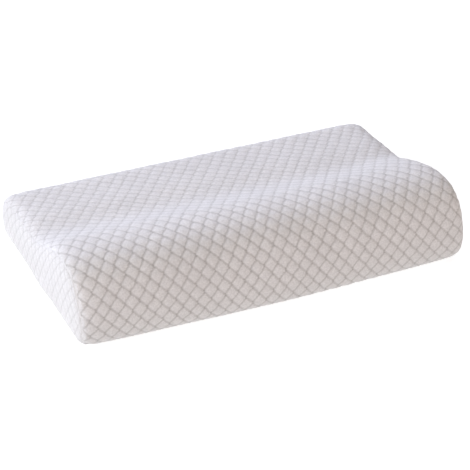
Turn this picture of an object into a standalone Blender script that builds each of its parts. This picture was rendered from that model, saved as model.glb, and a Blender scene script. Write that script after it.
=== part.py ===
"""Contour pillow for the neck: one filled knit cushion with a high lobe, a dip and a low lobe.

X runs along the pillow's length, Y from the high lobe at the front to the low lobe at the back
and Z up. The pillow lies on Z = 0, with X = 0 and Y = 0 in its middle. All values are in metres.
"""

import bmesh
import bpy

# Driving sizes
LENGTH = 0.500
END_CROWN = 0.003
END_ROUND = 0.023
SUBDIVISION_LEVELS = 2

# The section's cage, counterclockwise from the front of the flat base. Subdivision draws the
# cloth a little inside these corners: it crests at 100 mm, dips to 71 mm and is 300 mm deep.
# The base rows, at Z = 0, stay flat up to their rim, where the filling's weight presses them.
# Columns: place on the section, Y from the middle, Z above the bed.
SECTION = (
    ("base at the front", -0.125, 0.000),
    ("base", -0.090, 0.000),
    ("base", -0.060, 0.000),
    ("base", -0.030, 0.000),
    ("base in the middle", 0.000, 0.000),
    ("base", 0.030, 0.000),
    ("base", 0.060, 0.000),
    ("base", 0.090, 0.000),
    ("base at the back", 0.129, 0.000),
    ("tucked lower back edge", 0.147, 0.006),
    ("back side", 0.151, 0.030),
    ("back side", 0.149, 0.052),
    ("rounded upper back edge", 0.137, 0.069),
    ("low lobe", 0.108, 0.069),
    ("low lobe", 0.077, 0.071),
    ("top of the low lobe", 0.046, 0.073),
    ("bottom of the dip", 0.016, 0.071),
    ("slope", -0.012, 0.081),
    ("slope", -0.040, 0.094),
    ("crest of the high lobe", -0.070, 0.1005),
    ("crest of the high lobe", -0.102, 0.1005),
    ("rounded upper front edge", -0.130, 0.089),
    ("front side", -0.145, 0.062),
    ("bulge of the front side", -0.1520, 0.031),
    ("tucked lower front edge", -0.143, 0.006),
)

# Where the sections stand, how much smaller the cover draws each one in towards the ends, how far
# its base is off the bed, and how far its lower front edge bulges, which is most in the middle.
# The second one holds the end of the flat base.
# Columns: distance from the end of the pillow, share of the full section, lift, bulge.
STATIONS_FROM_END = (
    (END_CROWN, 0.985, 0.006, 0.000),
    (END_CROWN + END_ROUND, 0.995, 0.000, 0.000),
    (0.135, 1.000, 0.000, 0.002),
)
MIDDLE_BULGE = 0.008
BULGING_PLACE = "tucked lower front edge"

COVER_COLOUR = (0.76, 0.74, 0.76, 1.0)
COVER_ROUGHNESS = 0.9


def clear_scene():
    """Remove every object, so that the script starts from an empty scene."""
    for old in list(bpy.data.objects):
        bpy.data.objects.remove(old, do_unlink=True)


def knit_material():
    """Return the pale knit cloth of the cover."""
    material = bpy.data.materials.new("knit_cover")
    material.use_nodes = True
    surface = material.node_tree.nodes["Principled BSDF"]
    surface.inputs["Base Color"].default_value = COVER_COLOUR
    surface.inputs["Roughness"].default_value = COVER_ROUGHNESS
    surface.inputs["Metallic"].default_value = 0.0
    return material


def stations():
    """Return (X, share, lift, bulge) for each section from the left end to the right end."""
    left = [(-LENGTH / 2 + inset, *rest) for inset, *rest in STATIONS_FROM_END]
    right = [(-x, *rest) for x, *rest in reversed(left)]
    return left + [(0.0, 1.0, 0.0, MIDDLE_BULGE)] + right


def section_points(x, share, lift, bulge):
    """Return the section's corners at X, drawn in by share, with its base lifted off the bed."""
    points = []
    for place, y, z in SECTION:
        out = bulge if place == BULGING_PLACE else 0.0
        points.append((x, y * share - out, max(z * share - out / 4, lift)))
    return points


def loft(bm, rings):
    """Join each ring of corners to the next one with quads, and close the first and the last."""
    for ring, following in zip(rings, rings[1:]):
        for i in range(len(ring)):
            j = (i + 1) % len(ring)
            bm.faces.new((ring[i], ring[j], following[j], following[i]))
    return [bm.faces.new(rings[0]), bm.faces.new(rings[-1])]


def crease_base(bm, rings, edge_crease, corner_crease):
    """Keep the rim of the flat base crisp, so that subdivision doesn't lift it off the bed."""
    base_rows = [i for i, (_place, _y, z) in enumerate(SECTION) if z == 0.0]
    sides = (base_rows[0], base_rows[-1])
    flat_rings = rings[1:-1]
    for ring, following in zip(flat_rings, flat_rings[1:]):
        for i in sides:
            bm.edges.get((ring[i], following[i]))[edge_crease] = 1.0
    for ring in (flat_rings[0], flat_rings[-1]):
        for i in base_rows[:-1]:
            bm.edges.get((ring[i], ring[i + 1]))[edge_crease] = 1.0
        for i in sides:
            ring[i][corner_crease] = 1.0


def build_cage(mesh):
    """Loft the sections along X and inset the closed ends, so that the ends are rounded."""
    bm = bmesh.new()
    edge_crease = bm.edges.layers.float.new("crease_edge")
    corner_crease = bm.verts.layers.float.new("crease_vert")
    rings = [[bm.verts.new(point) for point in section_points(*station)] for station in stations()]
    ends = loft(bm, rings)
    crease_base(bm, rings, edge_crease, corner_crease)
    bmesh.ops.recalc_face_normals(bm, faces=bm.faces)
    bmesh.ops.inset_individual(bm, faces=ends, thickness=END_ROUND, depth=END_CROWN, use_even_offset=True)
    bm.to_mesh(mesh)
    bm.free()


def build_pillow(collection):
    """Build the filled cushion as one closed solid."""
    mesh = bpy.data.meshes.new("pillow")
    build_cage(mesh)
    mesh.shade_smooth()
    pillow = bpy.data.objects.new("pillow", mesh)
    collection.objects.link(pillow)
    rounding = pillow.modifiers.new("Soft form", "SUBSURF")
    rounding.levels = SUBDIVISION_LEVELS
    rounding.render_levels = SUBDIVISION_LEVELS
    pillow.data.materials.append(knit_material())
    return pillow


def main():
    clear_scene()
    collection = bpy.data.collections.new("Contour pillow")
    bpy.context.scene.collection.children.link(collection)
    build_pillow(collection)


main()
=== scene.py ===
# %% [markdown]
# # A contour pillow in a diamond lattice knit
# The pillow is one block of foam with a high lobe in front, a dip and a low lobe behind, in a snug
# cover of pale knit cloth. A grey thread draws a diamond lattice on the cloth, and the small cells
# between its lines puff up a little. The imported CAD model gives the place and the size, and this
# script makes the looks: the camera and the light first, then the soft body, the cloth over it,
# the knit and the seams.

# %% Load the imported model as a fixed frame
import math

import bmesh
import bpy
import numpy as np
from mathutils import Matrix, Vector
from mathutils.bvhtree import BVHTree


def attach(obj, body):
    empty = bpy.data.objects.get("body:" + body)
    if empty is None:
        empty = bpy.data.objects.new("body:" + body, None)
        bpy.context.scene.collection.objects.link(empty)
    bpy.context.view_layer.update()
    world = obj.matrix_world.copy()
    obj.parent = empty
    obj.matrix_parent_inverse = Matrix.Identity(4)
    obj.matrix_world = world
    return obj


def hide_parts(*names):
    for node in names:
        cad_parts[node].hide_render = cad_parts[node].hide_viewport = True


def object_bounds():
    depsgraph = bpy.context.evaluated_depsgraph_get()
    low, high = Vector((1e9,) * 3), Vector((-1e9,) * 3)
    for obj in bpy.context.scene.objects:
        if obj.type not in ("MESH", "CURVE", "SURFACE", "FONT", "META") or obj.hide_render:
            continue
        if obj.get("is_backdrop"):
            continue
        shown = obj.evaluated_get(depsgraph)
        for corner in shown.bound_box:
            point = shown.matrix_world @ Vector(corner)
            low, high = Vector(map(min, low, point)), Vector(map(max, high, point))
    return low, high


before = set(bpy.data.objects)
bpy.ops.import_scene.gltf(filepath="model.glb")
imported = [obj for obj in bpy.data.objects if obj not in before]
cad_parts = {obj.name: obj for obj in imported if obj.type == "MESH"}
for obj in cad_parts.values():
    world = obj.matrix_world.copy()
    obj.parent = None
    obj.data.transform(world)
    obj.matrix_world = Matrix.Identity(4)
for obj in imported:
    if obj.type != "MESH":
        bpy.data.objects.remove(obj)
cad_low, cad_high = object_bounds()
scene = bpy.context.scene
scene.view_settings.view_transform = "Standard"
HALF_LENGTH = cad_high.x
print("CAD box", [round(v, 4) for v in (*cad_low, *cad_high)])

# %% [markdown]
# ## Camera
# The photograph looks down on the front left corner of the pillow from about two metres, so its
# lines converge a little. A long lens at that distance gives the same perspective. The camera
# looks at the middle of the base. The small shift puts the pillow where the photograph frames it,
# and the small roll is the tilt at which the photograph was taken.

# %% Place the camera
CAMERA_DISTANCE = 2.175
CAMERA_TURN = math.radians(23.8)
CAMERA_HEIGHT = math.radians(30.98)
CAMERA_ROLL = math.radians(0.24)
CAMERA_SHIFT = (0.0094, 0.0338)
LENS = 135.5
SENSOR = 36.0


def camera_direction():
    """Return the direction in which the camera looks."""
    flat = math.cos(CAMERA_HEIGHT)
    return Vector((math.sin(CAMERA_TURN) * flat, math.cos(CAMERA_TURN) * flat, -math.sin(CAMERA_HEIGHT)))


def make_camera():
    """Make the camera of the photograph's view."""
    looks = camera_direction()
    camera = bpy.data.objects.new("camera", bpy.data.cameras.new("camera"))
    scene.collection.objects.link(camera)
    camera.location = -looks * CAMERA_DISTANCE
    turn = looks.to_track_quat("-Z", "Y").to_matrix() @ Matrix.Rotation(-CAMERA_ROLL, 3, "Z")
    camera.rotation_euler = turn.to_euler()
    camera.data.lens = LENS
    camera.data.sensor_width = SENSOR
    camera.data.shift_x, camera.data.shift_y = CAMERA_SHIFT
    camera.data.dof.use_dof = False
    return camera


scene.camera = make_camera()
print("camera at", [round(v, 3) for v in scene.camera.location])

# %% [markdown]
# ## Floor and light
# The photograph shows the pillow on plain white without a shadow. A cool light from the left makes
# the left end the brightest face. A cool light from far behind and a faint one above light the
# top. A warm light in front and one above the front light the front, which is darker and warmer
# than the top and changes softly into it along the crest. The floor glows, as a lit studio table
# does, so no shadow shows on it.


# %% Lay the floor and hang the lights
def floor_material(name, colour, roughness, glow):
    """Return a plain matt material that glows white."""
    material = bpy.data.materials.new(name)
    material.use_nodes = True
    shader = material.node_tree.nodes["Principled BSDF"]
    shader.inputs["Base Color"].default_value = (*colour, 1.0)
    shader.inputs["Roughness"].default_value = roughness
    shader.inputs["Emission Color"].default_value = (1.0, 1.0, 1.0, 1.0)
    shader.inputs["Emission Strength"].default_value = glow
    return material


def lay_floor():
    """Lay a plain pale floor under the pillow."""
    mesh = bpy.data.meshes.new("floor")
    corners = [(-FLOOR_REACH, -FLOOR_REACH, 0), (FLOOR_REACH, -FLOOR_REACH, 0)]
    corners += [(FLOOR_REACH, FLOOR_REACH, 0), (-FLOOR_REACH, FLOOR_REACH, 0)]
    mesh.from_pydata(corners, [], [(0, 1, 2, 3)])
    floor = bpy.data.objects.new("floor", mesh)
    scene.collection.objects.link(floor)
    look = floor_material("pale_floor", FLOOR_COLOUR, FLOOR_ROUGHNESS, FLOOR_GLOW)
    floor.data.materials.append(look)
    floor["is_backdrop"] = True


def hang_light(name, place, size, power, colour):
    """Hang a square area light at place, turned to the pillow."""
    lamp = bpy.data.lights.new(name, "AREA")
    lamp.size = size
    lamp.energy = power
    lamp.color = colour
    light = bpy.data.objects.new(name, lamp)
    light.location = place
    light.rotation_euler = (LIT_POINT - Vector(place)).to_track_quat("-Z", "Y").to_euler()
    scene.collection.objects.link(light)


FLOOR_REACH = 6.0
FLOOR_COLOUR = (0.35, 0.35, 0.35)
FLOOR_ROUGHNESS = 0.9
FLOOR_GLOW = 0.80
LIT_POINT = Vector((0, 0, 0.05))
# Columns: name, place in metres, side in metres, power in watts, colour.
LIGHTS = (
    ("key_from_the_left", (-2.3, 0.1, 1.0), 1.4, 56.0, (0.93, 0.945, 1.0)),
    ("light_far_behind", (0.0, 2.6, 1.3), 1.6, 72.5, (0.77, 0.80, 1.0)),
    ("light_above", (0.2, 0.7, 2.4), 2.2, 5.0, (0.80, 1.0, 0.80)),
    ("warm_light_in_front", (0.6, -2.2, 1.3), 1.6, 21.0, (1.0, 0.82, 0.72)),
    ("light_above_the_front", (0.3, -1.0, 2.6), 1.6, 22.0, (1.0, 0.94, 0.93)),
)
ROOM_LIGHT = (0.005, 0.005, 0.005, 1.0)

lay_floor()
for light in LIGHTS:
    hang_light(*light)
scene.world = bpy.data.worlds.new("plain_room")
scene.world.use_nodes = True
scene.world.node_tree.nodes["Background"].inputs["Color"].default_value = ROOM_LIGHT
print("floor and", len(LIGHTS), "lights")

# %% [markdown]
# ## The soft body
# Foam pushes its cover out evenly. To get that look, a copy of the CAD solid becomes an even net of
# small faces, starts a little smaller, and Blender's cloth simulation blows it up with a small
# pressure. The faces that lie on the bed are pinned, so that the base stays flat. No point may
# move further than about a millimetre, because a foam pillow keeps its shape.

# %% Copy the solid and let its cover swell
VOXEL = 0.005
MERGE_WITHIN = 0.00005
ON_THE_BED = 0.001
START_INSET = 0.0005
LARGEST_MOVE = 0.0013
SWELL_PRESSURE = 4.0
SWELL_FRAMES = 20


def points_of(mesh):
    """Return the mesh's vertices as an array."""
    points = np.empty(len(mesh.vertices) * 3)
    mesh.vertices.foreach_get("co", points)
    return points.reshape(-1, 3)


def set_points(mesh, points):
    """Move the mesh's vertices to points."""
    mesh.vertices.foreach_set("co", points.ravel())
    mesh.update()


def evaluated_mesh(piece):
    """Return the piece's mesh as a new plain mesh, with its modifiers applied."""
    graph = bpy.context.evaluated_depsgraph_get()
    return bpy.data.meshes.new_from_object(piece.evaluated_get(graph), depsgraph=graph)


def even_net(node):
    """Copy the node's mesh, merge it into one skin and remesh it in even small faces."""
    body = bpy.data.objects.new("soft_body", node.data.copy())
    scene.collection.objects.link(body)
    bm = bmesh.new()
    bm.from_mesh(body.data)
    bmesh.ops.remove_doubles(bm, verts=bm.verts, dist=MERGE_WITHIN)
    bm.to_mesh(body.data)
    bm.free()
    remesh = body.modifiers.new("Even net", "REMESH")
    remesh.mode = "VOXEL"
    remesh.voxel_size = VOXEL
    body.data = evaluated_mesh(body)
    body.modifiers.clear()
    return body


def swell(body):
    """Blow the body up a little with a cloth simulation, and cap how far each point moves."""
    full = points_of(body.data)
    normals = np.array([v.normal for v in body.data.vertices])
    resting = full[:, 2] < ON_THE_BED
    small = full - START_INSET * normals * ~resting[:, None]
    set_points(body.data, small)
    pinned = body.vertex_groups.new(name="resting")
    pinned.add(np.flatnonzero(resting).tolist(), 1.0, "REPLACE")
    cloth = body.modifiers.new("Swell", "CLOTH")
    cloth.settings.use_pressure = True
    cloth.settings.uniform_pressure_force = SWELL_PRESSURE
    cloth.settings.effector_weights.gravity = 0.0
    cloth.settings.vertex_group_mass = "resting"
    for step in range(1, SWELL_FRAMES + 1):
        scene.frame_set(step)
    moved = points_of(evaluated_mesh(body)) - small
    body.modifiers.clear()
    scene.frame_set(1)
    reach = np.linalg.norm(moved, axis=1, keepdims=True)
    set_points(body.data, small + moved * np.minimum(1.0, LARGEST_MOVE / np.maximum(reach, 1e-9)))
    return reach.mean()


body = even_net(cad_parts["pillow"])
print("the cover swelled by", round(swell(body) * 1000, 2), "mm on average")
print("soft body of", len(body.data.polygons), "faces")

# %% [markdown]
# ## The cloth as a net of squares
# The lattice follows the cloth, not space, so the cover needs a net whose lines run along the
# pillow and round its section. A box does that: its top, front, back and base take the shape of
# the section, its two ends are filled between those four sides, and every point is then drawn on
# to the soft body. First the section is measured on the solid, by rays from its middle. The
# photograph shows the slope into the dip a little fuller at the right end, so the net rises there.

# %% Measure the section of the solid
RAYS = 720
RAY_START = Vector((0.0, 0.0, 0.035))
LIFTED_OFF = 0.0002
SECTION_STEP = 0.001


def measured_section(tree):
    """Return the section at X = 0 as (Y, Z) points, from the base's front over the top to its back."""
    outline = []
    for step in range(RAYS):
        angle = -0.5 * math.pi - 2 * math.pi * step / RAYS
        hit = tree.ray_cast(RAY_START, Vector((0.0, math.cos(angle), math.sin(angle))))[0]
        outline.append((hit.y, hit.z))
    outline = np.array(outline)
    raised = np.flatnonzero(outline[:, 1] > LIFTED_OFF)
    return outline[raised[0] - 1 : raised[-1] + 2]


def even_steps(line, step):
    """Return the distance along the line and its points at even distances."""
    length = np.r_[0, np.cumsum(np.linalg.norm(np.diff(line, axis=0), axis=1))]
    along = np.linspace(0, length[-1], round(length[-1] / step) + 1)
    return along, np.stack([np.interp(along, length, line[:, i]) for i in range(line.shape[1])], 1)


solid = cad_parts["pillow"].data
solid_tree = BVHTree.FromPolygons([v.co for v in solid.vertices], [p.vertices for p in solid.polygons])
section_at, section = even_steps(measured_section(solid_tree), SECTION_STEP)
ROUND_THE_TOP = section_at[-1]
ROUND_ALL = ROUND_THE_TOP + np.linalg.norm(section[-1] - section[0])
print("section: over the top", round(ROUND_THE_TOP, 4), "m, all round", round(ROUND_ALL, 4), "m")

# %% Build the net of squares and draw it on to the body
TOP_FROM = 0.105
TOP_TO = 0.372
SQUARES_ALONG = 230
SQUARES_DEEP = 124
SQUARES_HIGH = 50
SMOOTHING_ROUNDS = 8
NET_ON_THE_BED = 0.0004
# The fuller slope: its middle and reach along Y, the X where it starts, how far it rises at the
# end, and the height above which the cloth takes part in full.
FULLER_AT = -0.008
FULLER_REACH = 0.028
FULLER_FROM = 0.13
FULLER_RISE = 0.004
FULL_HEIGHT = 0.08


def on_section(distance):
    """Return the (Y, Z) points of the section at these distances from the front of the base."""
    return np.stack([np.interp(distance, section_at, section[:, i]) for i in range(2)], -1)


def filled_section():
    """Fill the section with a grid between its base, top, front and back, as a patch of four curves."""
    q = np.linspace(0, 1, SQUARES_DEEP + 1)[:, None, None]
    r = np.linspace(0, 1, SQUARES_HIGH + 1)[None, :, None]
    base = section[0] + (section[-1] - section[0]) * q
    top = on_section(TOP_FROM + (TOP_TO - TOP_FROM) * q[..., 0])
    front = on_section(TOP_FROM * r[..., 0])
    back = on_section(ROUND_THE_TOP + (TOP_TO - ROUND_THE_TOP) * r[..., 0])
    front_ends = (1 - r) * front[:, :1] + r * front[:, -1:]
    back_ends = (1 - r) * back[:, :1] + r * back[:, -1:]
    corners = (1 - q) * front_ends + q * back_ends
    return (1 - r) * base + r * top + (1 - q) * front + q * back - corners


def skin_numbers():
    """Number the points on the skin of the box grid, with -1 inside it."""
    number = np.full((SQUARES_ALONG + 1, SQUARES_DEEP + 1, SQUARES_HIGH + 1), -1)
    skin = np.ones(number.shape, bool)
    skin[1:-1, 1:-1, 1:-1] = False
    number[skin] = np.arange(skin.sum())
    return number, np.argwhere(skin)


def quads(grid, flip):
    """Return the squares of a grid of point numbers, as rows of four."""
    rows = np.stack([grid[:-1, :-1], grid[1:, :-1], grid[1:, 1:], grid[:-1, 1:]], -1).reshape(-1, 4)
    return rows[:, ::-1] if flip else rows


number, grid_places = skin_numbers()
SIDES = {
    "base": quads(number[:, :, 0], True),
    "top": quads(number[:, :, -1], False),
    "front": quads(number[:, 0, :], False),
    "back": quads(number[:, -1, :], True),
    "left end": quads(number[0], True),
    "right end": quads(number[-1], False),
}
faces = np.concatenate(list(SIDES.values()))
inside = filled_section()
x_places = np.linspace(-HALF_LENGTH, HALF_LENGTH, SQUARES_ALONG + 1)
points = np.column_stack([x_places[grid_places[:, 0]], inside[grid_places[:, 1], grid_places[:, 2]]])

body_tree = BVHTree.FromPolygons([v.co for v in body.data.vertices], [p.vertices for p in body.data.polygons])
points = np.array([body_tree.find_nearest(Vector(point))[0] for point in points])
edges = np.unique(np.sort(np.concatenate([faces[:, [a, (a + 1) % 4]] for a in range(4)]), axis=1), axis=0)


def smoothed(values, rounds, held):
    """Average each point with its neighbours on the net, some rounds, but leave the held points."""
    count = np.bincount(edges.ravel(), minlength=len(values))[:, None]
    for _ in range(rounds):
        total = np.zeros_like(values)
        np.add.at(total, edges[:, 0], values[edges[:, 1]])
        np.add.at(total, edges[:, 1], values[edges[:, 0]])
        values = np.where(held[:, None], values, 0.5 * values + 0.5 * total / count)
    return values


def fuller_slope(points):
    """Return how far each point rises where the slope into the dip is fuller, near the right end."""
    near_end = np.clip((points[:, 0] - FULLER_FROM) / (HALF_LENGTH - FULLER_FROM), 0, 1)
    on_slope = np.exp(-(((points[:, 1] - FULLER_AT) / FULLER_REACH) ** 2))
    high_up = np.clip(points[:, 2] / FULL_HEIGHT, 0, 1) ** 2
    return FULLER_RISE * near_end**2 * (3 - 2 * near_end) * on_slope * high_up


resting = (grid_places[:, 2] == 0) & (points[:, 2] < NET_ON_THE_BED)
points[resting, 2] = 0.0
points = smoothed(points, SMOOTHING_ROUNDS, resting)
points[:, 2] += fuller_slope(points)
bpy.data.objects.remove(body)
print("net of", len(points), "points and", len(faces), "squares")

# %% [markdown]
# ## Where the lattice runs
# Two families of grey lines cross on the cloth. Each one is written as a number that grows by one
# from line to line: it changes with the place along the pillow, and with the distance round the
# section. The cloth is stretched more over the crest than on the front and is gathered a little
# behind the dip, so a short table says how many lines have passed at a few places. Each end is a
# panel of its own, cut with the same diamonds standing upright and sewn in round its edge.

# %% Count the lattice lines round the section
# Columns: place, distance from the front of the base in metres, lines passed of each family.
LINES_PASSED = (
    ("front of the base", 0.000, -0.85, -1.05),
    ("front side", 0.040, 0.97, 0.51),
    ("upper front edge", 0.088, 3.20, 2.78),
    ("front of the crest", 0.120, 4.64, 4.09),
    ("crest", 0.152, 5.82, 5.30),
    ("back of the crest", 0.184, 6.83, 6.49),
    ("dip", 0.248, 9.14, 8.57),
    ("behind the dip", 0.264, 10.19, 9.21),
    ("low lobe", 0.280, 11.62, 9.91),
    ("low lobe", 0.312, 14.09, 11.33),
    ("low lobe", 0.344, 16.16, 12.68),
    ("upper back edge", 0.368, 17.78, 13.66),
)
LINES_ALL_ROUND = (33, 29)
LINE_SPACING = (0.0176, 0.0167)
LINE_START = (-0.09, 0.05)
LEAN = (1.0, -1.0)
END_LINE_SPACING = (0.0157, 0.0220)
END_LINE_START = (0.09, 0.40)
SOFTENING = 0.012


def lines_round_the_section(family):
    """Return distances and the lines passed there, softened and closed round the base."""
    at = np.array([row[1] for row in LINES_PASSED])
    passed = np.array([row[2 + family] for row in LINES_PASSED])
    whole = LINES_ALL_ROUND[family]
    at = np.concatenate([at - ROUND_ALL, at, at + ROUND_ALL])
    passed = np.concatenate([passed - whole, passed, passed + whole])
    fine = np.arange(-0.1, ROUND_ALL + 0.1, SECTION_STEP)
    line = np.interp(fine, at, passed)
    window = np.hanning(2 * round(SOFTENING / SECTION_STEP) + 3)
    ends_cut = len(window) // 2
    return fine[ends_cut:-ends_cut], np.convolve(line, window / window.sum(), "valid")


LINE_CURVES = [lines_round_the_section(family) for family in (0, 1)]


def lattice(along, around):
    """Return both families' line numbers at places on the cloth, with lines where they are whole."""
    found = []
    for family in (0, 1):
        fine, line = LINE_CURVES[family]
        passed = np.interp(around, fine, line)
        found.append(along / LINE_SPACING[family] + LINE_START[family] + LEAN[family] * passed + 0.5)
    return np.stack(found, -1)


def end_lattice(deep, high):
    """Return both families' line numbers on an end panel, deep along Y and high along Z."""
    across = deep / END_LINE_SPACING[0]
    up = high / END_LINE_SPACING[1]
    return np.stack([across + up + END_LINE_START[0], across - up + END_LINE_START[1]], -1)


def along_the_net():
    """Return the cloth's distance from the middle, along the pillow, at each point of the box grid."""
    place = np.full((*number.shape, 3), np.nan)
    place[number >= 0] = points
    middle = SQUARES_ALONG // 2
    along = np.zeros(number.shape)
    steps = np.linalg.norm(np.diff(place, axis=0), axis=-1)
    along[middle + 1 :] = np.cumsum(steps[middle:], axis=0)
    along[:middle] = -np.cumsum(steps[:middle][::-1], axis=0)[::-1]
    return along


along = along_the_net()
deep = np.linspace(0, 1, SQUARES_DEEP + 1)
high = np.linspace(0, 1, SQUARES_HIGH + 1)
top_around = TOP_FROM + (TOP_TO - TOP_FROM) * deep
# Columns: how far along the pillow, and how far round the section, each point of the side lies.
# On the two ends these are the distances along Y and along Z instead.
SIDE_CLOTH = {
    "base": (along[:, :, 0], ROUND_ALL + (ROUND_THE_TOP - ROUND_ALL) * deep[None, :]),
    "top": (along[:, :, -1], top_around[None, :]),
    "front": (along[:, 0, :], TOP_FROM * high[None, :]),
    "back": (along[:, -1, :], ROUND_THE_TOP + (TOP_TO - ROUND_THE_TOP) * high[None, :]),
    "left end": (inside[..., 0], inside[..., 1]),
    "right end": (inside[..., 0], inside[..., 1]),
}
FLIPPED = {"base", "back", "left end"}
cloth_places = []
lattice_places = []
for side in SIDES:
    lengthwise, around = np.broadcast_arrays(*SIDE_CLOTH[side])
    place = np.stack([lengthwise, around], -1)
    corners = np.stack([place[:-1, :-1], place[1:, :-1], place[1:, 1:], place[:-1, 1:]], -2).reshape(-1, 4, 2)
    corners = corners[:, ::-1] if side in FLIPPED else corners
    counted = end_lattice if "end" in side else lattice
    cloth_places.append(corners)
    lattice_places.append(counted(corners[..., 0], corners[..., 1]))
cloth_places = np.concatenate(cloth_places)
lattice_places = np.concatenate(lattice_places)
print("cloth along the top:", round(float(np.ptp(along[:, SQUARES_DEEP // 2, -1])), 4), "m")

# %% [markdown]
# ## The cover's mesh
# The net becomes one closed mesh. Two maps go with it, one with the line numbers of the lattice
# and one with the cloth's own distances, because a pattern on them follows the cloth and bends
# with it. Two more values say how far each point is from the seam of its end panel, so that the cells flatten
# towards the seam, and how strongly the lattice is drawn there: the lines are painted paler behind the high
# lobe and palest on the end, a painted sheen where the cloth is seen at a grazing angle.

# %% Make the cover
SEAM_REACH = 0.005
YARN_NEARS_SEAM = 5
# The lattice is painted paler on the ends and on the low lobe behind the high lobe: painted sheen, where the
# cloth is seen at a grazing angle.
END_LATTICE_PAINTED_SHEEN = 0.60
LOW_LOBE_LATTICE_PAINTED_SHEEN = 0.78
DIP_RAMP = (0.24, 0.40)


def from_seam():
    """Return 0 on the seams of the end panels, rising to 1 a few millimetres from them."""
    i, j, k = grid_places.T
    step = ROUND_ALL / (2 * (SQUARES_DEEP + SQUARES_HIGH))
    from_end = np.minimum(i, SQUARES_ALONG - i)
    from_rim = np.minimum.reduce([j, SQUARES_DEEP - j, k, SQUARES_HIGH - k])
    return np.clip((from_end + from_rim) * step / SEAM_REACH, 0, 1)


def lattice_seam_and_painted_sheen():
    """Return how strongly the lattice is drawn: none on a seam, paler on the low lobe and palest on the ends,
    which is painted sheen.
    """
    i, j, k = grid_places.T
    on_end = (i == 0) | (i == SQUARES_ALONG)
    share = np.interp(j / SQUARES_DEEP, DIP_RAMP, (1.0, LOW_LOBE_LATTICE_PAINTED_SHEEN))
    beside_seam = np.clip(from_seam() * YARN_NEARS_SEAM, 0, 1)
    return beside_seam * np.where(on_end, END_LATTICE_PAINTED_SHEEN, share)


def add_map(mesh, name, values):
    """Add a UV map with a value for each face corner."""
    layer = mesh.uv_layers.new(name=name)
    layer.uv.foreach_set("vector", values.astype(np.float32).ravel())


def make_cover():
    """Make the closed cover, with its lattice and cloth maps."""
    mesh = bpy.data.meshes.new("pillow_cover")
    mesh.from_pydata(points.tolist(), [], faces.tolist())
    add_map(mesh, "lattice", lattice_places.reshape(-1, 2))
    add_map(mesh, "cloth", cloth_places.reshape(-1, 2))
    first = np.unique(faces.ravel(), return_index=True)[1]
    on_points = mesh.attributes.new("lattice_at", "FLOAT2", "POINT")
    on_points.data.foreach_set("vector", lattice_places.reshape(-1, 2)[first].astype(np.float32).ravel())
    fade = mesh.attributes.new("from_seam", "FLOAT", "POINT")
    fade.data.foreach_set("value", from_seam().astype(np.float32))
    line_share = mesh.attributes.new("lattice_seam_and_painted_sheen", "FLOAT", "POINT")
    line_share.data.foreach_set("value", lattice_seam_and_painted_sheen().astype(np.float32))
    mesh.shade_smooth()
    cover = bpy.data.objects.new("pillow_cover", mesh)
    scene.collection.objects.link(cover)
    return cover


cover = make_cover()
print("cover of", 2 * len(faces), "triangles")

# %% [markdown]
# ## Node helpers
# Node trees in this lesson are built with three small helpers: one adds a node with its settings,
# one joins sockets, and one writes a small sum.


# %% Helpers for node trees
def add_node(tree, kind, **settings):
    """Add a node of this kind, with settings by name."""
    node = tree.nodes.new(kind)
    for name, value in settings.items():
        setattr(node, name, value)
    return node


def feed(tree, socket, value):
    """Link another node's output to the socket, or set the socket's own value."""
    if isinstance(value, bpy.types.NodeSocket):
        tree.links.new(value, socket)
    else:
        socket.default_value = value


def sum_node(tree, operation, *values):
    """Add a Math node and return its result."""
    node = add_node(tree, "ShaderNodeMath", operation=operation)
    for socket, value in zip(node.inputs, values):
        feed(tree, socket, value)
    return node.outputs[0]


def from_line(tree, count):
    """Return how far a line number is from the nearest lattice line, from 0 on it to 0.5 between two."""
    part = sum_node(tree, "FRACT", sum_node(tree, "ADD", count, 0.5))
    return sum_node(tree, "ABSOLUTE", sum_node(tree, "SUBTRACT", part, 0.5))


# A line of the second family doesn't run straight through the first family's lines. It leans in
# each cell and steps back by this share of a cell where it crosses, so the cells look squarer.
STEP_BACK = 0.15


def stepped(tree, first, second):
    """Return the second family's number, with the step its lines take at each line of the first."""
    part = sum_node(tree, "SUBTRACT", sum_node(tree, "FRACT", first), 0.5)
    return sum_node(tree, "MULTIPLY_ADD", part, -STEP_BACK, second)


# %% [markdown]
# ## Puffed cells
# The lattice lines are knitted tighter than the cells, so each cell puffs up between them. The
# rule is the same everywhere: a point's height depends on its distance to the two nearest lines.
# That is a job for Geometry Nodes, which read the line numbers from the cover, work out the
# height, and move the points along their normals. The same tree sinks the seams and adds a very
# slight, slow unevenness, because no cover is drawn on quite evenly. Points on the bed stay there.


# %% Raise the cells with Geometry Nodes
def start_tree(name, sizes):
    """Start a Geometry Nodes tree with one input for each named size, and a material."""
    tree = bpy.data.node_groups.new(name, "GeometryNodeTree")
    tree.interface.new_socket("Geometry", in_out="INPUT", socket_type="NodeSocketGeometry")
    for size in sizes:
        tree.interface.new_socket(size, in_out="INPUT", socket_type="NodeSocketFloat")
    tree.interface.new_socket("Material", in_out="INPUT", socket_type="NodeSocketMaterial")
    tree.interface.new_socket("Geometry", in_out="OUTPUT", socket_type="NodeSocketGeometry")
    return tree, add_node(tree, "NodeGroupInput")


def finish_tree(tree, geometry, material):
    """End the tree in real geometry with its material."""
    real = add_node(tree, "GeometryNodeRealizeInstances")
    dressed = add_node(tree, "GeometryNodeSetMaterial")
    feed(tree, real.inputs["Geometry"], geometry)
    feed(tree, dressed.inputs["Geometry"], real.outputs["Geometry"])
    feed(tree, dressed.inputs["Material"], material)
    feed(tree, add_node(tree, "NodeGroupOutput").inputs["Geometry"], dressed.outputs["Geometry"])


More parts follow.
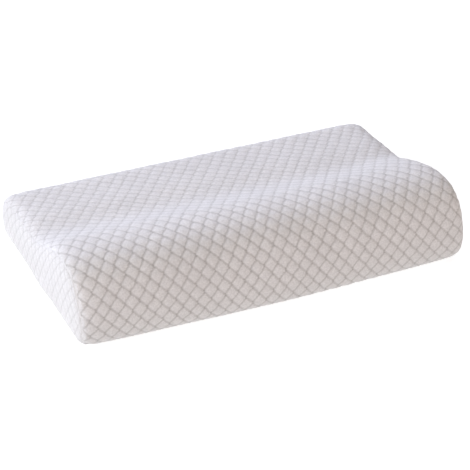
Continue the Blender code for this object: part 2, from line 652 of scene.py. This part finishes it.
def run_tree(piece, tree, values):
    """Run the tree on the piece with these input values, and keep the result as its plain mesh."""
    modifier = piece.modifiers.new(tree.name, "NODES")
    modifier.node_group = tree
    for item in tree.interface.items_tree:
        if item.in_out == "INPUT" and item.name in values:
            modifier[item.identifier] = values[item.name]
    made = evaluated_mesh(piece)
    piece.modifiers.clear()
    piece.data = made
    return made


def named_value(tree, name, kind):
    """Return the output that reads a value kept on the mesh."""
    node = add_node(tree, "GeometryNodeInputNamedAttribute", data_type=kind)
    node.inputs["Name"].default_value = name
    return node.outputs["Attribute"]


LINE_SHARPNESS = 2.5
WAVES_A_METRE = 16.0
STILL_BELOW = 0.0005


def puff_tree():
    """Build the tree that raises each cell between its lattice lines."""
    tree, given = start_tree("Puffed cells", ("Cell rise", "Seam depth", "Slack"))
    parts = add_node(tree, "ShaderNodeSeparateXYZ")
    feed(tree, parts.inputs[0], named_value(tree, "lattice_at", "FLOAT_VECTOR"))
    shares = []
    for count in (parts.outputs["X"], stepped(tree, parts.outputs["X"], parts.outputs["Y"])):
        near = sum_node(tree, "SUBTRACT", 1.0, sum_node(tree, "MULTIPLY", from_line(tree, count), 2.0))
        shares.append(sum_node(tree, "SUBTRACT", 1.0, sum_node(tree, "POWER", near, LINE_SHARPNESS)))
    puff = sum_node(tree, "SUBTRACT", sum_node(tree, "MULTIPLY", *shares), 0.5)
    fade = named_value(tree, "from_seam", "FLOAT")
    rise = sum_node(tree, "MULTIPLY", puff, given.outputs["Cell rise"])
    height = sum_node(tree, "MULTIPLY", rise, fade)
    groove = sum_node(tree, "POWER", sum_node(tree, "SUBTRACT", 1.0, fade), 2.0)
    sunk = sum_node(tree, "MULTIPLY", groove, given.outputs["Seam depth"])
    height = sum_node(tree, "SUBTRACT", height, sunk)
    waves = add_node(tree, "ShaderNodeTexNoise")
    waves.inputs["Scale"].default_value = WAVES_A_METRE
    waves.inputs["Detail"].default_value = 1.0
    feed(tree, waves.inputs["Vector"], add_node(tree, "GeometryNodeInputPosition").outputs[0])
    swing = sum_node(tree, "SUBTRACT", waves.outputs[0], 0.5)
    wave = sum_node(tree, "MULTIPLY", swing, given.outputs["Slack"])
    above_bed = add_node(tree, "ShaderNodeSeparateXYZ")
    feed(tree, above_bed.inputs[0], add_node(tree, "GeometryNodeInputPosition").outputs[0])
    off_bed = sum_node(tree, "GREATER_THAN", above_bed.outputs["Z"], STILL_BELOW)
    height = sum_node(tree, "MULTIPLY", sum_node(tree, "ADD", height, wave), off_bed)
    move = add_node(tree, "ShaderNodeVectorMath", operation="SCALE")
    feed(tree, move.inputs[0], add_node(tree, "GeometryNodeInputNormal").outputs[0])
    feed(tree, move.inputs["Scale"], height)
    raised = add_node(tree, "GeometryNodeSetPosition")
    feed(tree, raised.inputs["Geometry"], given.outputs["Geometry"])
    feed(tree, raised.inputs["Offset"], move.outputs[0])
    finish_tree(tree, raised.outputs["Geometry"], given.outputs["Material"])
    return tree


# %% [markdown]
# ## Knit cloth
# Close up, the cloth is a fine knit in a soft, almost white yarn. The lattice is knitted in a grey
# yarn, one narrow line of stitches. The shader draws that from the two maps: the line numbers give
# the lattice, and the cloth's distances give the rows of stitches. Each stitch is either more grey
# or less, so a line is ragged at its edges. It also wanders slowly, and it is darkest where two
# lines cross. Slow noise varies the colour, and a little sheen gives the soft edge of a brushed
# yarn.

# %% Mix the knit material
CELL_COLOUR = (0.775, 0.76, 0.762, 1.0)
CELL_SHADE = (0.64, 0.625, 0.627, 1.0)
LINE_COLOUR = (0.42, 0.40, 0.395, 1.0)
LINE_HALF_WIDTHS = (0.12, 0.11)
YARN_SHARES = (0.53, 0.54)
STITCH_WIDTH = 0.0013
STITCH_HEIGHT = 0.0010
RAGGEDNESS = 0.08
WANDERING = 0.24
WANDERS_A_METRE = (90.0, 110.0)
PATCHES_A_METRE = 14.0
FUZZ_A_METRE = 500.0
DULLNESS_A_METRE = 300.0
KNIT_RELIEF = 0.0004


def smooth_step(tree, value, low, high, to_low=0.0, to_high=1.0):
    """Map a value smoothly from one range to another."""
    node = add_node(tree, "ShaderNodeMapRange", interpolation_type="SMOOTHSTEP")
    for name, number_or_socket in (
        ("Value", value),
        ("From Min", low),
        ("From Max", high),
        ("To Min", to_low),
        ("To Max", to_high),
    ):
        feed(tree, node.inputs[name], number_or_socket)
    return node.outputs["Result"]


def map_parts(tree, name):
    """Return the two values of a UV map."""
    parts = add_node(tree, "ShaderNodeSeparateXYZ")
    feed(tree, parts.inputs[0], add_node(tree, "ShaderNodeUVMap", uv_map=name).outputs["UV"])
    return parts.outputs["X"], parts.outputs["Y"]


def slow_noise(tree, scale, detail=2.0):
    """Return noise on the pillow's own coordinates, in metres."""
    node = add_node(tree, "ShaderNodeTexNoise")
    node.inputs["Scale"].default_value = scale
    node.inputs["Detail"].default_value = detail
    feed(tree, node.inputs["Vector"], add_node(tree, "ShaderNodeTexCoord").outputs["Object"])
    return node.outputs["Fac"]


def knit_stitches(tree):
    """Return the height of the knit: columns of small V stitches."""
    lengthwise, around = map_parts(tree, "cloth")
    column = sum_node(tree, "DIVIDE", lengthwise, STITCH_WIDTH)
    leg = sum_node(tree, "ABSOLUTE", sum_node(tree, "SUBTRACT", sum_node(tree, "FRACT", column), 0.5))
    row = sum_node(tree, "SUBTRACT", sum_node(tree, "DIVIDE", around, STITCH_HEIGHT), leg)
    wave = sum_node(tree, "SINE", sum_node(tree, "MULTIPLY", row, 2 * math.pi))
    valley = sum_node(tree, "MULTIPLY", sum_node(tree, "SUBTRACT", 0.5, leg), 1.4)
    return sum_node(tree, "MULTIPLY_ADD", wave, 0.3, valley)


def stitch_chance(tree):
    """Return a value between 0 and 1 that is the same all over one stitch."""
    lengthwise, around = map_parts(tree, "cloth")
    place = add_node(tree, "ShaderNodeCombineXYZ")
    feed(tree, place.inputs["X"], sum_node(tree, "FLOOR", sum_node(tree, "DIVIDE", lengthwise, STITCH_WIDTH)))
    feed(tree, place.inputs["Y"], sum_node(tree, "FLOOR", sum_node(tree, "DIVIDE", around, STITCH_HEIGHT)))
    chance = add_node(tree, "ShaderNodeTexWhiteNoise", noise_dimensions="2D")
    feed(tree, chance.inputs["Vector"], place.outputs["Vector"])
    return chance.outputs["Value"]


def lattice_lines(tree):
    """Return how strongly the grey lines are drawn: 0 in a cell, and about 1 where two lines cross, less
    where painted sheen pales them.
    """
    ragged = sum_node(tree, "MULTIPLY", sum_node(tree, "SUBTRACT", stitch_chance(tree), 0.5), RAGGEDNESS)
    counts = []
    for count, scale in zip(map_parts(tree, "lattice"), WANDERS_A_METRE):
        swing = sum_node(tree, "SUBTRACT", slow_noise(tree, scale), 0.5)
        wander = sum_node(tree, "MULTIPLY", swing, WANDERING)
        counts.append(sum_node(tree, "ADD", count, sum_node(tree, "ADD", wander, ragged)))
    counts[1] = stepped(tree, *counts)
    lines = []
    for count, half_width, line_share in zip(counts, LINE_HALF_WIDTHS, YARN_SHARES):
        away = sum_node(tree, "DIVIDE", from_line(tree, count), half_width)
        lines.append(smooth_step(tree, away, 0.15, 1.35, line_share, 0.0))
    # The lines are painted paler on the low lobe and on the ends: painted sheen.
    seam_and_sheen_fade = add_node(tree, "ShaderNodeAttribute", attribute_name="lattice_seam_and_painted_sheen")
    return sum_node(tree, "MULTIPLY", sum_node(tree, "ADD", *lines), seam_and_sheen_fade.outputs["Fac"])


def blended(tree, share, first, second):
    """Mix two colours."""
    node = add_node(tree, "ShaderNodeMix", data_type="RGBA")
    feed(tree, node.inputs["Factor"], share)
    feed(tree, node.inputs["A"], first)
    feed(tree, node.inputs["B"], second)
    return node.outputs["Result"]


def knit_material():
    """Return the pale knit cloth with its grey lattice."""
    material = bpy.data.materials.new("lattice_knit")
    material.use_nodes = True
    tree = material.node_tree
    shader = tree.nodes["Principled BSDF"]
    stitches = knit_stitches(tree)
    lines = lattice_lines(tree)
    patches = smooth_step(tree, slow_noise(tree, PATCHES_A_METRE, 3.0), 0.3, 0.7, 0.0, 0.20)
    fuzz = smooth_step(tree, slow_noise(tree, FUZZ_A_METRE), 0.35, 0.65, 0.0, 0.55)
    grain = sum_node(tree, "MULTIPLY_ADD", stitch_chance(tree), 0.60, fuzz)
    cell = blended(tree, sum_node(tree, "ADD", patches, grain), CELL_COLOUR, CELL_SHADE)
    feed(tree, shader.inputs["Base Color"], blended(tree, lines, cell, LINE_COLOUR))
    dullness = smooth_step(tree, slow_noise(tree, DULLNESS_A_METRE), 0.2, 0.8, 0.82, 0.95)
    feed(tree, shader.inputs["Roughness"], dullness)
    shader.inputs["Specular IOR Level"].default_value = 0.25
    shader.inputs["Sheen Weight"].default_value = 0.32
    shader.inputs["Sheen Roughness"].default_value = 0.45
    sunk = sum_node(tree, "MULTIPLY_ADD", lines, -1.0, stitches)
    bump = add_node(tree, "ShaderNodeBump")
    bump.inputs["Strength"].default_value = 0.5
    bump.inputs["Distance"].default_value = KNIT_RELIEF
    feed(tree, bump.inputs["Height"], sunk)
    feed(tree, shader.inputs["Normal"], bump.outputs["Normal"])
    return material


CELL_RISE = 0.0007
SEAM_DEPTH = 0.0004
SLACK = 0.0012
knit = knit_material()
made = run_tree(
    cover,
    puff_tree(),
    {"Cell rise": CELL_RISE, "Seam depth": SEAM_DEPTH, "Slack": SLACK, "Material": knit},
)
print("puffed cover of", len(made.polygons), "squares, maps", [layer.name for layer in made.uv_layers])

# %% [markdown]
# ## Seams of the end panels
# Each end panel is sewn in round its edge, and a row of small pale stitches closes the seam. One
# stitch is a small drop of thread that lies along the seam. Geometry Nodes turn the edge of the
# panel into a curve, space points evenly on it, and set one stitch on each point.

# %% Sew the seams with Geometry Nodes
STITCH_SPACING = 0.0034
STITCH_LENGTH = 0.0024
THREAD = 0.0005
THREAD_COLOUR = (0.80, 0.79, 0.79, 1.0)
THREAD_SHADE = (0.70, 0.69, 0.70, 1.0)
TWISTS_A_METRE = 1800.0


def seam_points():
    """Return the point numbers round each end panel, in order."""
    loops = []
    for end in (0, -1):
        grid = number[end]
        loops.append(np.r_[grid[0, :-1], grid[:-1, -1], grid[-1, :0:-1], grid[:0:-1, 0]])
    return loops


def seam_lines(cover):
    """Make a thin piece of edges only, that runs round both end panels."""
    on_cover = points_of(cover.data)
    corners, lines = [], []
    for loop in seam_points():
        first = len(corners)
        corners += on_cover[loop].tolist()
        lines += [(first + i, first + (i + 1) % len(loop)) for i in range(len(loop))]
    mesh = bpy.data.meshes.new("seam_stitches")
    mesh.from_pydata(corners, lines, [])
    seams = bpy.data.objects.new("seam_stitches", mesh)
    scene.collection.objects.link(seams)
    return seams


def stitch_tree():
    """Build the tree that sets a stitch on each point of a seam."""
    tree, given = start_tree("Seam stitches", ("Spacing", "Length", "Thread"))
    curve = add_node(tree, "GeometryNodeMeshToCurve")
    feed(tree, curve.inputs["Mesh"], given.outputs["Geometry"])
    spaced = add_node(tree, "GeometryNodeResampleCurve", mode="LENGTH")
    feed(tree, spaced.inputs["Curve"], curve.outputs["Curve"])
    feed(tree, spaced.inputs["Length"], given.outputs["Spacing"])
    along_seam = add_node(tree, "FunctionNodeAlignRotationToVector", axis="X")
    feed(tree, along_seam.inputs["Vector"], add_node(tree, "GeometryNodeInputTangent").outputs[0])
    drop = add_node(tree, "GeometryNodeMeshUVSphere")
    drop.inputs["Segments"].default_value = 6
    drop.inputs["Rings"].default_value = 5
    drop.inputs["Radius"].default_value = 0.5
    size = add_node(tree, "ShaderNodeCombineXYZ")
    feed(tree, size.inputs["X"], given.outputs["Length"])
    feed(tree, size.inputs["Y"], given.outputs["Thread"])
    feed(tree, size.inputs["Z"], given.outputs["Thread"])
    set_on = add_node(tree, "GeometryNodeInstanceOnPoints")
    feed(tree, set_on.inputs["Points"], spaced.outputs["Curve"])
    feed(tree, set_on.inputs["Instance"], drop.outputs["Mesh"])
    feed(tree, set_on.inputs["Rotation"], along_seam.outputs["Rotation"])
    feed(tree, set_on.inputs["Scale"], size.outputs["Vector"])
    finish_tree(tree, set_on.outputs["Instances"], given.outputs["Material"])
    return tree


def thread_material():
    """Return the pale, slightly shiny sewing thread."""
    material = bpy.data.materials.new("seam_thread")
    material.use_nodes = True
    tree = material.node_tree
    shader = tree.nodes["Principled BSDF"]
    twist = smooth_step(tree, slow_noise(tree, TWISTS_A_METRE), 0.3, 0.7)
    feed(tree, shader.inputs["Base Color"], blended(tree, twist, THREAD_COLOUR, THREAD_SHADE))
    shader.inputs["Roughness"].default_value = 0.7
    return material


seams = seam_lines(cover)
sewn = run_tree(
    seams,
    stitch_tree(),
    {"Spacing": STITCH_SPACING, "Length": STITCH_LENGTH, "Thread": THREAD, "Material": thread_material()},
)
sewn.shade_smooth()
print("stitches of", len(sewn.polygons), "faces")

# %% Hand the pieces to the frame
for piece in (cover, seams):
    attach(piece, "root")
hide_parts("pillow")

# %% Write the sizes and finish
low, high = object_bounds()
print("visual box", [round(v, 4) for v in (*low, *high)])
